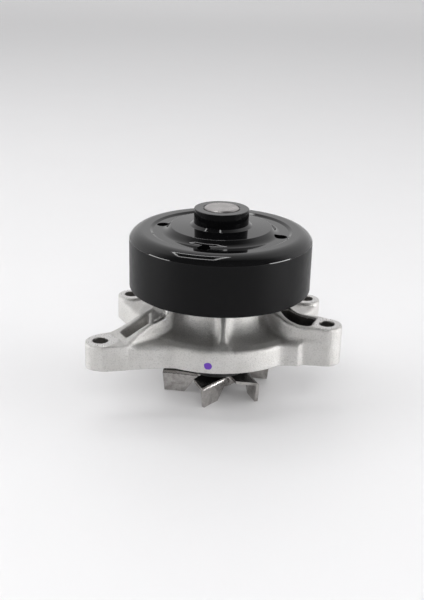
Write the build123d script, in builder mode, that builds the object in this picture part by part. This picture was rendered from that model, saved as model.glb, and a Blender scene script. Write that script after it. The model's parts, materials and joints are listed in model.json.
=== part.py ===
from build123d import *
import os
from math import cos, radians, sin

# Belt-driven water pump. The shaft axis is Z, z = 0 is the flange's mounting face and the pulley is up.

os.makedirs("parts", exist_ok=True)

# ---------------------------------------------------------------- driving dimensions, in millimetres

SHAFT_R = 7.95
SHAFT_TOP = 64.6
SHAFT_BOTTOM = -23.0
SHAFT_CHAMFER = 0.5

PULLEY_R = 42.5
PULLEY_RIM_Z = 26.6
PULLEY_CREASE_Z = 50.3
PULLEY_WALL = 3.0
PULLEY_CROWN = (35.9, 54.1)
PULLEY_SHOULDER = (40.4, 52.8)
PULLEY_RING_Z = 53.3
PULLEY_RING_OUTER_R = 31.7
PULLEY_RING_INNER_R = 25.6
PULLEY_DISC_EDGE = (23.3, 55.8)
PULLEY_DISC_Z = 56.3
PULLEY_COLLAR_R = 14.3
PULLEY_COLLAR_TOP = 57.4
PULLEY_HOLE_R = 3.0
PULLEY_HOLE_CIRCLE_R = 28.2
PULLEY_HOLE_ANGLE = -15.5
PULLEY_RIM_ROUND = 0.8

HUB_R = 12.7
HUB_TOP = 64.1
HUB_BOTTOM = 50.0
HUB_EDGE = 0.4
HUB_BORE_CHAMFER = 0.8

FLANGE_T = 10.5
FLANGE_FRONT_R = 42.2
FLANGE_SIDE_R = 37.0
FLANGE_EDGE = 1.0
BOSS_EDGE = 0.6
BOLT_HOLE_R = 3.4
LOW_PAD_Z = 12.0
HIGH_PAD_Z = 18.2
ARM_TOP_Z = 28.9
POCKET_FLOOR = 4.5
WEDGE_FLOOR = 16.5

BEARING_R = 15.0
BEARING_BOTTOM = 10.0
BEARING_TOP = 48.0
BEARING_BOSS_R = 19.6
BEARING_BOSS_TOP = 46.0
BELL_FOOT_R = 37.5
BELL_ARC_R = 11.5
BELL_NECK_TOP = 29.0
RIB_X = 2.0
RIB_WIDTH = 3.0
RIB_FOOT_R = 39.3
RIB_TOP = (20.0, 33.0)

RACE_R = 11.2
SEAL_SEAT_R = 12.4
SEAL_SEAT_DEPTH = 3.0
BALL_R = 2.75
BALL_PITCH_R = 9.6
BALL_COUNT = 8
BALL_ROW_Z = {"lower": 18.5, "upper": 39.5}
GROOVE_CLEARANCE = 0.08
LIP_CLEARANCE = 0.05

SEAL_BORE_R = 15.5
SEAL_BORE_TOP = 6.5
SEAL_BOSS_R = 20.0
SEAL_BOSS_BOTTOM = -6.0
CHAMBER_R = 13.0
WEEP_HOLE_R = 2.0
SEAL_FACE_Z = -9.0
UNDERSIDE_RECESS_R = 34.0
UNDERSIDE_RECESS = 2.5

IMPELLER_TOP = -15.0
IMPELLER_BOTTOM = -25.3
PLATE_T = 1.6
VANE_COUNT = 6
VANE_TIP_R = 27.4
VANE_TIP_ANGLE = -103.1
VANE_INNER_R = 13.6
VANE_INNER_TURN = 52.6
VANE_FOOT = 10.6
VANE_EDGE_MIDDLE = (13.6, -21.2)
VANE_HEAD = 16.5
VANE_LEAN = 0.9
VANE_BOW = 0.6
ARM_BACK_CORNERS = ((13.6, -19.0), (20.0, -20.0))
BEND_R = 1.8

# Bolt bosses: centre x, centre y, radius, pad height, and the circles their flange lobe is hulled with.
BOSSES = {
    "left_front": (-52.3, -35.9, 6.9, LOW_PAD_Z, ((-26.0, -27.0, 11.0), (-26.0, -18.0, 6.0))),
    "right_front": (48.8, -24.5, 7.05, HIGH_PAD_Z, ((20.0, -12.0, 16.5), (21.0, -9.5, 17.5))),
    "left_rear": (-43.8, 23.3, 6.8, LOW_PAD_Z, ((-26.8, 2.3, 12.0),)),
    "right_rear": (43.8, 23.3, 6.8, LOW_PAD_Z, ((26.8, 2.3, 12.0),)),
    "rear_left": (-18.0, 45.0, 7.2, LOW_PAD_Z, ((-12.0, 22.0, 15.0),)),
    "rear_right": (18.0, 45.0, 7.2, LOW_PAD_Z, ((12.0, 22.0, 15.0),)),
}
# A ledge of the flange that ends proud of the right arm's front wall: centre x, centre y and radius.
LEDGE = ((27.5, -27.5, 4.0), (35.3, -29.8, 2.2))

# Outlines of the two arms and their pockets in plan, and the arms' tops in section, as points.
LEFT_ARM_FRONT = ((-50.8, -43.4), (-40.5, -41.2), (-38.7, -39.1), (-30.5, -31.4), (-21.2, -22.6))
LEFT_ARM_TURN = ((-21.2, -22.6), (-20.3, -20.6), (-19.5, -14.0))
LEFT_ARM_ROOT = ((-19.5, -14.0), (-10.0, -6.0), (-24.0, -9.0), (-31.8, -15.2))
LEFT_ARM_REAR = ((-31.8, -15.2), (-40.5, -21.9), (-48.9, -25.8), (-56.3, -29.8))
LEFT_ARM_END = ((-56.3, -29.8), (-58.6, -38.9), (-50.8, -43.4))
LEFT_ARM_TOP = ((55.5, LOW_PAD_Z), (47.5, 15.8), (42.0, 18.0), (34.5, 20.0))
LEFT_ARM_CLIMB = ((34.5, 20.0), (26.0, 27.6), (20.0, ARM_TOP_Z))
LEFT_ARM_DIRECTION = 210
LEFT_POCKET = ((-44.0, -28.0), (-40.6, -34.4), (-31.6, -28.6), (-31.6, -19.8))
LEFT_POCKET_REAR = ((-31.6, -19.8), (-38.0, -24.6), (-44.0, -28.0))
LEFT_WEDGE = ((-29.4, -28.9), (-24.0, -23.9), (-23.2, -22.6), (-24.6, -22.9), (-29.4, -27.2))
RIGHT_ARM_FRONT = ((20.4, -14.0), (25.6, -21.2), (31.8, -27.4), (38.6, -30.2))
RIGHT_ARM_WALL = ((38.6, -30.2), (43.5, -30.4), (48.4, -31.55))
RIGHT_ARM_END = ((48.4, -31.55), (55.7, -25.4), (51.4, -17.9))
RIGHT_ARM_REAR = ((51.4, -17.9), (45.2, -14.4), (38.4, -12.2), (33.0, -4.0))
RIGHT_ARM_ROOT = ((33.0, -4.0), (12.0, 0.0), (20.4, -14.0))
RIGHT_ARM_TOP = ((36.5, HIGH_PAD_Z), (31.0, 19.0), (26.0, 20.8), (18.0, 24.0))
RIGHT_POCKET_FRONT = ((27.6, -8.0), (30.0, -18.4), (34.7, -25.0), (39.8, -27.2))
RIGHT_POCKET_END = ((39.8, -27.2), (41.6, -26.2), (42.2, -23.4), (44.4, -18.8), (43.0, -17.0))
RIGHT_POCKET_REAR = ((43.0, -17.0), (37.8, -14.3), (32.6, -7.0))
ARM_ROOT_R = 5.0

# Turned profiles of the small parts about the shaft, as (radius, height) points.
SLINGER = ((SHAFT_R, 7.0), (9.2, 7.0), (9.2, 8.0), (12.2, 8.6), (12.2, 9.4), (9.2, 9.2), (SHAFT_R, 9.4))
SHEET_T = 0.8
CASING_LIP_R = 18.0
CASING_EYE_R = 9.6
CASING_TOP = 5.2
BELLOWS_TOP = CASING_TOP - SHEET_T
BELLOWS_INSIDE = ((9.6, BELLOWS_TOP), (9.6, 1.0), (9.0, 0.0), (9.0, -4.6))
BELLOWS_OUTSIDE = ((11.6, -4.6), (11.6, -3.6), (10.0, -3.6), (10.0, -0.4), (11.2, 1.6), (11.2, 3.4))
BELLOWS_SHOULDER = ((14.6, 3.4), (14.6, BELLOWS_TOP))
BAND = {"inner_r": 10.0, "outer_r": 10.6, "low": -3.2, "high": -0.8}
SPRING_R = 13.0
SPRING_WIRE_R = 0.55
SPRING_PITCH = 2.0
SPRING_LENGTH = 6.0
SPRING_START = -3.2
SPRING_PLATE = {"inner_r": 11.8, "outer_r": 14.2, "low": -4.6, "high": -3.8}
CARBON_TOP = -4.6
CARBON_BORE_R = 9.4
CARBON_OUTER_R = 13.6
CARBON_NOSE = (9.8, 12.2)
CARBON_NOSE_H = 1.4
SEAL_FILM = 0.05
SEAT_BORE_R = 9.0
SEAT_OUTER_R = 13.6
SEAT_BOTTOM = -12.2
CUP_OUTER_R = 14.6
CUP_RIM = -10.6
CUP_NECK = -10.4
BEARING_SEAL_T = 2.2
BEARING_SEAL_DISH = 0.7
BEARING_SEAL_LOW = {"lower": 10.3, "upper": 45.5}
BEARING_CHAMFER = 0.6
CAGE_HALF_WALL = 1.0
CAGE_BACK = 0.8
CAGE_WIDTH = {"lower": 5.0, "upper": -3.4}


def polar(radius, angle):
    """The point at a radius and an angle in degrees."""
    return (radius * cos(radians(angle)), radius * sin(radians(angle)))


def save(piece, label):
    """Labels a finished sub-part and writes its STEP file."""
    piece.part.label = label
    export_step(piece.part, f"parts/{label}.step")


def ring(name, inner_r, outer_r, low, high):
    """A plain turned ring or sleeve about the shaft axis."""
    with BuildPart() as piece:
        with BuildSketch(Plane.XY.offset(low)):
            Circle(outer_r)
            Circle(inner_r, mode=Mode.SUBTRACT)
        extrude(amount=high - low)
    save(piece, name)
    return piece


def turned(name, *profile):
    """A piece turned about the shaft axis from (radius, height) points."""
    with BuildPart() as piece:
        with BuildSketch(Plane.XZ):
            with BuildLine():
                Polyline(*profile, close=True)
            make_face()
        revolve(axis=Axis.Z)
    save(piece, name)
    return piece


# ---------------------------------------------------------------- housing: flange and bosses

with BuildPart() as flange:
    with BuildSketch():
        Circle(FLANGE_SIDE_R)
        # The front and rear lobes are arcs about the shaft axis.
        for middle, half in ((-85.0, 37.0), (90.0, 56.0)):
            start = polar(FLANGE_FRONT_R, middle - half)
            end = polar(FLANGE_FRONT_R, middle + half)
            with BuildLine():
                Line((0, 0), start)
                ThreePointArc(start, polar(FLANGE_FRONT_R, middle), end)
                Line(end, (0, 0))
            make_face()
        for x, y, boss_r, _, partners in BOSSES.values():
            with BuildSketch(mode=Mode.PRIVATE) as ear:
                with Locations((x, y)):
                    Circle(boss_r)
                for px, py, pr in partners:
                    with Locations((px, py)):
                        Circle(pr)
                make_hull()
            add(ear.sketch)
        with BuildSketch(mode=Mode.PRIVATE) as ledge:
            for x, y, end_r in LEDGE:
                with Locations((x, y)):
                    Circle(end_r)
            make_hull()
        add(ledge.sketch)
    extrude(amount=FLANGE_T)
    chamfer(flange.faces().sort_by(Axis.Z)[-1].outer_wire().edges(), length=FLANGE_EDGE)

# Each boss stands proud of the flange, with a flat pad on top.
with BuildPart() as pads:
    for x, y, boss_r, height, _ in BOSSES.values():
        with BuildSketch():
            with Locations((x, y)):
                Circle(boss_r)
        extrude(amount=height)
    chamfer(pads.faces().filter_by(Axis.Z).filter_by(lambda f: f.center().Z > 1).edges(), length=BOSS_EDGE)

# ---------------------------------------------------------------- housing: the two ribbed arms

# Left arm: a flat pad that climbs to the bearing boss.
with BuildPart() as left_arm:
    with BuildSketch():
        with BuildLine():
            Polyline(*LEFT_ARM_FRONT)
            Spline(*LEFT_ARM_TURN)
            Polyline(*LEFT_ARM_ROOT)
            Spline(*LEFT_ARM_REAR)
            ThreePointArc(*LEFT_ARM_END)
        make_face()
    extrude(amount=ARM_TOP_Z)
    # The top is flat over the boss, climbs towards the shaft and turns steep under the pulley.
    with BuildSketch(Plane.XZ.rotated((0, 0, LEFT_ARM_DIRECTION))):
        with BuildLine():
            Polyline((80, 0), (80, LOW_PAD_Z), LEFT_ARM_TOP[0])
            Spline(*LEFT_ARM_TOP)
            Polyline(*LEFT_ARM_CLIMB, (ARM_ROOT_R, ARM_TOP_Z), (ARM_ROOT_R, 0), (80, 0))
        make_face()
    extrude(amount=40, both=True, mode=Mode.INTERSECT)

# Right arm: a high flat pad that curves round into the bearing boss.
with BuildPart() as right_arm:
    with BuildSketch():
        with BuildLine():
            Spline(*RIGHT_ARM_FRONT)
            Polyline(*RIGHT_ARM_WALL)
            ThreePointArc(*RIGHT_ARM_END)
            Spline(*RIGHT_ARM_REAR)
            Polyline(*RIGHT_ARM_ROOT)
        make_face()
    extrude(amount=ARM_TOP_Z)
    with BuildSketch(Plane.XZ):
        with BuildLine():
            Polyline((60, 0), (60, HIGH_PAD_Z), RIGHT_ARM_TOP[0])
            Spline(*RIGHT_ARM_TOP)
            Polyline(RIGHT_ARM_TOP[-1], (ARM_ROOT_R, ARM_TOP_Z), (ARM_ROOT_R, 0), (60, 0))
        make_face()
    extrude(amount=60, both=True, mode=Mode.INTERSECT)

# ---------------------------------------------------------------- housing: bell, bearing boss and front rib

with BuildPart() as bell:
    with BuildSketch(Plane.XZ):
        with BuildLine():
            neck_r = BELL_FOOT_R - BELL_ARC_R
            neck_z = FLANGE_T + BELL_ARC_R
            Polyline((0, 0), (BELL_FOOT_R, 0), (BELL_FOOT_R, FLANGE_T))
            CenterArc((BELL_FOOT_R, neck_z), BELL_ARC_R, 180, 90)
            Polyline(
                (neck_r, neck_z),
                (BEARING_BOSS_R, BELL_NECK_TOP),
                (BEARING_BOSS_R - 0.5, BEARING_BOSS_TOP - 0.8),
                (BEARING_BOSS_R - 1.3, BEARING_BOSS_TOP),
                (0, BEARING_BOSS_TOP),
                (0, 0),
            )
        make_face()
    revolve(axis=Axis.Z)

with BuildPart() as front_rib:
    with BuildSketch(Plane.YZ.offset(RIB_X)):
        with BuildLine():
            Polyline(
                (-RIB_FOOT_R, FLANGE_T - 1),
                (-RIB_FOOT_R, FLANGE_T),
                (-RIB_TOP[0], RIB_TOP[1]),
                (-RIB_TOP[0] + 3, RIB_TOP[1]),
                (-RIB_TOP[0] + 3, FLANGE_T - 1),
                close=True,
            )
        make_face()
    extrude(amount=RIB_WIDTH / 2, both=True)

with BuildPart() as pump_housing:
    add(flange.part)
    add(pads.part)
    add(left_arm.part)
    add(right_arm.part)
    add(bell.part)
    add(front_rib.part)
    # Each arm has a deep pocket cast into its top, and the left one a narrow wedge behind its front ridge.
    with BuildSketch(Plane.XY.offset(POCKET_FLOOR)):
        with BuildLine():
            Polyline(*LEFT_POCKET)
            Spline(*LEFT_POCKET_REAR)
        make_face()
        with BuildLine():
            Spline(*RIGHT_POCKET_FRONT)
            Polyline(*RIGHT_POCKET_END)
            Spline(*RIGHT_POCKET_REAR)
            Line(RIGHT_POCKET_REAR[-1], RIGHT_POCKET_FRONT[0])
        make_face()
    extrude(amount=ARM_TOP_Z, mode=Mode.SUBTRACT)
    with BuildSketch(Plane.XY.offset(WEDGE_FLOOR)):
        with BuildLine():
            Polyline(*LEFT_WEDGE, close=True)
        make_face()
    extrude(amount=ARM_TOP_Z, mode=Mode.SUBTRACT)
    # Underside: a shallow recess inside the gasket face, with the seal boss standing in it.
    with BuildSketch(Plane.XY.offset(UNDERSIDE_RECESS)):
        Circle(UNDERSIDE_RECESS_R)
    extrude(amount=-UNDERSIDE_RECESS, mode=Mode.SUBTRACT)
    with BuildSketch(Plane.XY.offset(SEAL_BOSS_BOTTOM)):
        Circle(SEAL_BOSS_R)
    extrude(amount=UNDERSIDE_RECESS - SEAL_BOSS_BOTTOM)
    # The stepped bore: bearing from above, mechanical seal from below, leak chamber between them.
    for radius, low, high in (
        (BEARING_R, BEARING_BOTTOM, BEARING_BOSS_TOP),
        (CHAMBER_R, SEAL_BORE_TOP, BEARING_BOTTOM),
        (SEAL_BORE_R, SEAL_BOSS_BOTTOM, SEAL_BORE_TOP),
    ):
        with BuildSketch(Plane.XY.offset(low)):
            Circle(radius)
        extrude(amount=high - low, mode=Mode.SUBTRACT)
    # The weep hole climbs from the leak chamber to the open air behind the bell.
    with BuildSketch(Plane(origin=(0, 11, 7.0), x_dir=(1, 0, 0), z_dir=(0, 1, 0.75))):
        Circle(WEEP_HOLE_R)
    extrude(amount=26, mode=Mode.SUBTRACT)
    for x, y, _, height, _ in BOSSES.values():
        with BuildSketch():
            with Locations((x, y)):
                Circle(BOLT_HOLE_R)
        extrude(amount=height, mode=Mode.SUBTRACT)
save(pump_housing, "pump_housing")

# ---------------------------------------------------------------- pulley, hub and shaft

with BuildPart() as pulley_shell:
    with BuildSketch(Plane.XZ):
        crown_r, crown_z = PULLEY_CROWN
        edge_r, edge_z = PULLEY_DISC_EDGE
        with BuildLine():
            Line((PULLEY_R, PULLEY_RIM_Z), (PULLEY_R, PULLEY_CREASE_Z))
            ThreePointArc((PULLEY_R, PULLEY_CREASE_Z), PULLEY_SHOULDER, PULLEY_CROWN)
            Polyline(
                PULLEY_CROWN,
                (PULLEY_RING_OUTER_R + 1.0, crown_z - 0.1),
                (PULLEY_RING_OUTER_R - 0.2, PULLEY_RING_Z),
                (PULLEY_RING_INNER_R, PULLEY_RING_Z),
                PULLEY_DISC_EDGE,
                (PULLEY_COLLAR_R, PULLEY_DISC_Z),
                (HUB_R + 0.2, PULLEY_COLLAR_TOP),
                (HUB_R, PULLEY_COLLAR_TOP),
                (HUB_R, PULLEY_DISC_Z - PULLEY_WALL),
                (edge_r - 1, edge_z - PULLEY_WALL),
                (PULLEY_RING_INNER_R - 1.5, PULLEY_RING_Z - PULLEY_WALL),
                (PULLEY_RING_OUTER_R + 1, PULLEY_RING_Z - PULLEY_WALL),
                (crown_r, crown_z - PULLEY_WALL),
            )
            inner_r = PULLEY_R - PULLEY_WALL
            ThreePointArc(
                (crown_r, crown_z - PULLEY_WALL),
                (inner_r - 1.1, PULLEY_CREASE_Z - 0.2),
                (inner_r, PULLEY_CREASE_Z - 3.5),
            )
            Polyline((inner_r, PULLEY_CREASE_Z - 3.5), (inner_r, PULLEY_RIM_Z), (PULLEY_R, PULLEY_RIM_Z))
        make_face()
    revolve(axis=Axis.Z)
    fillet(pulley_shell.edges().filter_by(GeomType.CIRCLE).group_by(Axis.Z)[0], radius=PULLEY_RIM_ROUND)
    with BuildSketch(Plane.XY.offset(PULLEY_RING_Z - 2 * PULLEY_WALL)):
        with PolarLocations(PULLEY_HOLE_CIRCLE_R, 4, start_angle=PULLEY_HOLE_ANGLE):
            Circle(PULLEY_HOLE_R)
    extrude(amount=3 * PULLEY_WALL, mode=Mode.SUBTRACT)
save(pulley_shell, "pulley_shell")

turned(
    "pulley_hub",
    (SHAFT_R, HUB_BOTTOM),
    (HUB_R - 0.8, HUB_BOTTOM),
    (HUB_R, HUB_BOTTOM + 0.8),
    (HUB_R, HUB_TOP - HUB_EDGE),
    (HUB_R - HUB_EDGE, HUB_TOP),
    (SHAFT_R + HUB_BORE_CHAMFER, HUB_TOP),
    (SHAFT_R, HUB_TOP - HUB_BORE_CHAMFER),
)

with BuildPart() as bearing_shaft:
    with BuildSketch(Plane.XY.offset(SHAFT_BOTTOM)):
        Circle(SHAFT_R)
    extrude(amount=SHAFT_TOP - SHAFT_BOTTOM)
    chamfer(bearing_shaft.edges().filter_by(GeomType.CIRCLE), length=SHAFT_CHAMFER)
    # The inner raceways are ground straight into the shaft.
    for row_z in BALL_ROW_Z.values():
        with BuildSketch(Plane.XZ):
            with Locations((BALL_PITCH_R, row_z)):
                Circle(BALL_R + GROOVE_CLEARANCE)
        revolve(axis=Axis.Z, mode=Mode.SUBTRACT)
save(bearing_shaft, "bearing_shaft")

# ---------------------------------------------------------------- bearing

with BuildPart() as bearing_outer_ring:
    with BuildSketch(Plane.XY.offset(BEARING_BOTTOM)):
        Circle(BEARING_R)
        Circle(RACE_R, mode=Mode.SUBTRACT)
    extrude(amount=BEARING_TOP - BEARING_BOTTOM)
    rims = bearing_outer_ring.edges().filter_by(GeomType.CIRCLE).sort_by(SortBy.RADIUS)[-2:]
    chamfer(rims, length=BEARING_CHAMFER)
    for seat_z in (BEARING_BOTTOM, BEARING_TOP - SEAL_SEAT_DEPTH):
        with BuildSketch(Plane.XY.offset(seat_z)):
            Circle(SEAL_SEAT_R)
        extrude(amount=SEAL_SEAT_DEPTH, mode=Mode.SUBTRACT)
    for row_z in BALL_ROW_Z.values():
        with BuildSketch(Plane.XZ):
            with Locations((BALL_PITCH_R, row_z)):
                Circle(BALL_R + GROOVE_CLEARANCE)
        revolve(axis=Axis.Z, mode=Mode.SUBTRACT)
save(bearing_outer_ring, "bearing_outer_ring")

for row, row_z in BALL_ROW_Z.items():
    with BuildPart() as balls:
        with Locations((0, 0, row_z)):
            with PolarLocations(BALL_PITCH_R, BALL_COUNT):
                Sphere(BALL_R)
    save(balls, f"{row}_ball_row")

    # A snap cage: a thin band with a round pocket for each ball.
    with BuildPart() as cage:
        with BuildSketch(Plane.XY.offset(row_z - CAGE_BACK)):
            Circle(BALL_PITCH_R + CAGE_HALF_WALL)
            Circle(BALL_PITCH_R - CAGE_HALF_WALL, mode=Mode.SUBTRACT)
        extrude(amount=CAGE_WIDTH[row])
        with Locations((0, 0, row_z)):
            with PolarLocations(BALL_PITCH_R, BALL_COUNT):
                Sphere(BALL_R + GROOVE_CLEARANCE, mode=Mode.SUBTRACT)
    save(cage, f"{row}_ball_cage")

for row, low in BEARING_SEAL_LOW.items():
    with BuildPart() as bearing_seal:
        with BuildSketch(Plane.XY.offset(low)):
            Circle(SEAL_SEAT_R)
            Circle(SHAFT_R + LIP_CLEARANCE, mode=Mode.SUBTRACT)
        extrude(amount=BEARING_SEAL_T)
        # The moulded face is dished between the rim and the lip.
        with BuildSketch(Plane.XY.offset(low if row == "lower" else low + BEARING_SEAL_T)):
            Circle(SEAL_SEAT_R - 1.0)
            Circle(SHAFT_R + 1.0, mode=Mode.SUBTRACT)
        extrude(amount=BEARING_SEAL_DISH if row == "lower" else -BEARING_SEAL_DISH, mode=Mode.SUBTRACT)
    save(bearing_seal, f"{row}_bearing_seal")

# ---------------------------------------------------------------- slinger and mechanical seal

turned("slinger", *SLINGER)

turned(
    "seal_casing",
    (SEAL_BORE_R, SEAL_BOSS_BOTTOM),
    (CASING_LIP_R, SEAL_BOSS_BOTTOM),
    (CASING_LIP_R, SEAL_BOSS_BOTTOM - SHEET_T),
    (SEAL_BORE_R - SHEET_T, SEAL_BOSS_BOTTOM - SHEET_T),
    (SEAL_BORE_R - SHEET_T, CASING_TOP - SHEET_T),
    (CASING_EYE_R, CASING_TOP - SHEET_T),
    (CASING_EYE_R, CASING_TOP),
    (SEAL_BORE_R, CASING_TOP),
)

turned("seal_bellows", *BELLOWS_INSIDE, *BELLOWS_OUTSIDE, *BELLOWS_SHOULDER)

ring("bellows_band", **BAND)

with BuildPart() as seal_spring:
    with BuildLine() as spring_line:
        Helix(pitch=SPRING_PITCH, height=SPRING_LENGTH, radius=SPRING_R, center=(0, 0, SPRING_START))
    with BuildSketch(Plane(origin=spring_line.line @ 0, z_dir=spring_line.line % 0)):
        Circle(SPRING_WIRE_R)
    sweep(is_frenet=True)
save(seal_spring, "seal_spring")

ring("spring_plate", **SPRING_PLATE)

turned(
    "carbon_ring",
    (CARBON_BORE_R, CARBON_TOP),
    (CARBON_BORE_R, SEAL_FACE_Z + CARBON_NOSE_H),
    (CARBON_NOSE[0], SEAL_FACE_Z),
    (CARBON_NOSE[1], SEAL_FACE_Z),
    (CARBON_NOSE[1] + 0.4, SEAL_FACE_Z + CARBON_NOSE_H),
    (CARBON_OUTER_R, SEAL_FACE_Z + CARBON_NOSE_H),
    (CARBON_OUTER_R, CARBON_TOP),
)

ring("seat_ring", SEAT_BORE_R, SEAT_OUTER_R, SEAT_BOTTOM, SEAL_FACE_Z - SEAL_FILM)

turned(
    "seat_cup",
    (SHAFT_R, IMPELLER_TOP),
    (CUP_OUTER_R, IMPELLER_TOP),
    (CUP_OUTER_R, CUP_RIM),
    (SEAT_OUTER_R, CUP_RIM),
    (SEAT_OUTER_R, SEAT_BOTTOM),
    (SEAT_BORE_R, SEAT_BOTTOM),
    (SEAT_BORE_R, CUP_NECK),
    (SHAFT_R, CUP_NECK),
)

# ---------------------------------------------------------------- impeller

tip = Vector(*polar(VANE_TIP_R, VANE_TIP_ANGLE))
root = Vector(*polar(VANE_INNER_R, VANE_TIP_ANGLE + VANE_INNER_TURN))
chord = root - tip
under_plate = Vector(-chord.Y, chord.X).normalized()

# One blade: a flat arm of the plate, with the vane bent down along its trailing edge.
with BuildPart() as blade:
    with BuildSketch(Plane.XY.offset(IMPELLER_BOTTOM)):
        with BuildLine():
            bow = (tip + root) * 0.5 + under_plate * VANE_BOW
            outside = ThreePointArc(tip, bow, root)
            inside = ThreePointArc(*(point + under_plate * PLATE_T for point in (root, bow, tip)))
            Line(outside @ 1, inside @ 0)
            Line(inside @ 1, outside @ 0)
        make_face()
    extrude(amount=IMPELLER_TOP - IMPELLER_BOTTOM)
    with BuildSketch(Plane.XY.offset(IMPELLER_TOP)):
        with BuildLine():
            ThreePointArc(tip, bow, root)
            Polyline(
                root,
                polar(VANE_INNER_R, VANE_TIP_ANGLE + 10),
                polar(VANE_INNER_R, VANE_TIP_ANGLE - 10),
                *(polar(radius, VANE_TIP_ANGLE + turn) for radius, turn in ARM_BACK_CORNERS),
                tip + under_plate * PLATE_T,
                tip,
            )
        make_face()
    extrude(amount=-PLATE_T)
    top_arcs = blade.edges().group_by(Axis.Z)[-1].filter_by(GeomType.CIRCLE)
    fillet(top_arcs.sort_by(SortBy.LENGTH)[-1], radius=BEND_R)
    # The vane's inner edge slants up to the plate, and its outer edge leans in at the foot.
    with BuildSketch(Plane(origin=(tip.X, tip.Y, 0), x_dir=chord.normalized(), z_dir=under_plate * -1)):
        beyond = chord.length + 2
        under = IMPELLER_BOTTOM - 1
        with BuildLine():
            ThreePointArc(
                (VANE_FOOT, IMPELLER_BOTTOM),
                VANE_EDGE_MIDDLE,
                (VANE_HEAD, IMPELLER_TOP - PLATE_T),
            )
            Polyline(
                (VANE_HEAD, IMPELLER_TOP - PLATE_T),
                (beyond, IMPELLER_TOP - PLATE_T),
                (beyond, under),
                (VANE_FOOT, under),
                (VANE_FOOT, IMPELLER_BOTTOM),
            )
        make_face()
        with BuildLine():
            Polyline(
                (-2, IMPELLER_TOP - PLATE_T),
                (0, IMPELLER_TOP - PLATE_T),
                (VANE_LEAN, IMPELLER_BOTTOM),
                (VANE_LEAN, under),
                (-2, under),
                close=True,
            )
        make_face()
    extrude(amount=8, both=True, mode=Mode.SUBTRACT)

with BuildPart() as impeller:
    with BuildSketch(Plane.XY.offset(IMPELLER_TOP)):
        Circle(VANE_INNER_R + 0.6)
    extrude(amount=-PLATE_T)
    with PolarLocations(0, VANE_COUNT):
        add(blade.part)
    # The collar drawn down from the plate grips the shaft.
    with BuildSketch(Plane.XY.offset(SHAFT_BOTTOM + 0.5)):
        Circle(SHAFT_R + PLATE_T)
    extrude(amount=IMPELLER_TOP - SHAFT_BOTTOM - 0.5)
    with BuildSketch(Plane.XY.offset(IMPELLER_BOTTOM)):
        Circle(SHAFT_R)
    extrude(amount=IMPELLER_TOP - IMPELLER_BOTTOM, mode=Mode.SUBTRACT)
save(impeller, "impeller")
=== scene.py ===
import json
from math import cos, hypot, pi, radians, sin

import bmesh
import bpy
import numpy as np
from mathutils import Matrix, Vector


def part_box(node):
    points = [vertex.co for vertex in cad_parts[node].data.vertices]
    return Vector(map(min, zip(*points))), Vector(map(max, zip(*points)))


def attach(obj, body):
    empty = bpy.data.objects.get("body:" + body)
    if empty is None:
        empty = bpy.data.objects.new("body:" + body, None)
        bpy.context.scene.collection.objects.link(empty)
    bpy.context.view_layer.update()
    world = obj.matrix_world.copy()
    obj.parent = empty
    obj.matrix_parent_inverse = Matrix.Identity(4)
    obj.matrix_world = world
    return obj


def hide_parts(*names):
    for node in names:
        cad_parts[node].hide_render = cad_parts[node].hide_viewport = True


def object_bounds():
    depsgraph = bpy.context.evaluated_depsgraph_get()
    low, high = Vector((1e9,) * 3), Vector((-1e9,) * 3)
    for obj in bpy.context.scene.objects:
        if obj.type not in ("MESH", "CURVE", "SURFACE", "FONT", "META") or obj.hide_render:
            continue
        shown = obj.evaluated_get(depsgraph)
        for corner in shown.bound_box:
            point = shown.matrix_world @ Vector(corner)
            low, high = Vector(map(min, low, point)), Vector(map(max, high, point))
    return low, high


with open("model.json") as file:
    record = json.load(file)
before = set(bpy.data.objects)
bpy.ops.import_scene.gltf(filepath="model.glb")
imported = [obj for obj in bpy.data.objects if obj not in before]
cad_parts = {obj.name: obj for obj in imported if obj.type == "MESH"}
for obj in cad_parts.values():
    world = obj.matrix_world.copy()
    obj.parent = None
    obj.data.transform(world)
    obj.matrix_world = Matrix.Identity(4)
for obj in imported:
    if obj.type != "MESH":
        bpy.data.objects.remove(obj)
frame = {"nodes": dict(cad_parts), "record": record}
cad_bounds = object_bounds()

MM = 0.001
nodes = frame["nodes"]
record = frame["record"]

# ---------------------------------------------------------------- the cast housing, in millimetres
# The casting is one implicit solid: a field that is negative inside, sampled on a grid and then
# turned into a mesh.

GRID_STEP = 0.45
CAST_ROUNDING = 0.55
FLANGE_TOP = 10.5
FLANGE_EDGE = 2.0
SIDE_R = 37.0
# Each lobe of the flange: the angle of its middle and half its spread, in degrees about the shaft.
LOBE_R = 42.2
LOBES = ((-85.0, 37.0), (90.0, 56.0))
BAY_FILLET = 3.0
BOLT_R = 3.4
# The mounting face as drawn is a tenth of a millimetre below the CAD's.
FACE_Z = -0.1
HIGH_PAD = 18.2

# Each boss: its radius, and the circles (x, y, radius) that its flange ear runs to.
BOSSES = {
    "left_front": (6.9, ((-26.0, -27.0, 11.0), (-26.0, -18.0, 6.0))),
    "right_front": (7.05, ((20.0, -12.0, 16.5), (21.0, -9.5, 17.5))),
    "left_rear": (6.8, ((-26.8, 2.3, 12.0),)),
    "right_rear": (6.8, ((26.8, 2.3, 12.0),)),
    "rear_left": (7.2, ((-12.0, 22.0, 15.0),)),
    "rear_right": (7.2, ((12.0, 22.0, 15.0),)),
}
# A ledge of the flange that ends proud of the right arm's front wall: two circles in plan.
LEDGE_ENDS = ((27.5, -27.5), 4.0, (35.3, -29.8), 2.2)
LEDGE_FILLET = 1.5

BELL_FOOT_R = 37.5
BELL_ARC_R = 11.5
BELL_NECK_TOP = 29.0
BEARING_BOSS_R = 19.6
BEARING_BOSS_TOP = 46.0
BEARING_BOSS_FILLET = 1.0
OVERLAP = 0.5
RIB_X = 2.0
RIB_HALF_WIDTH = 1.5
RIB_DRAFT = 0.12
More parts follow.
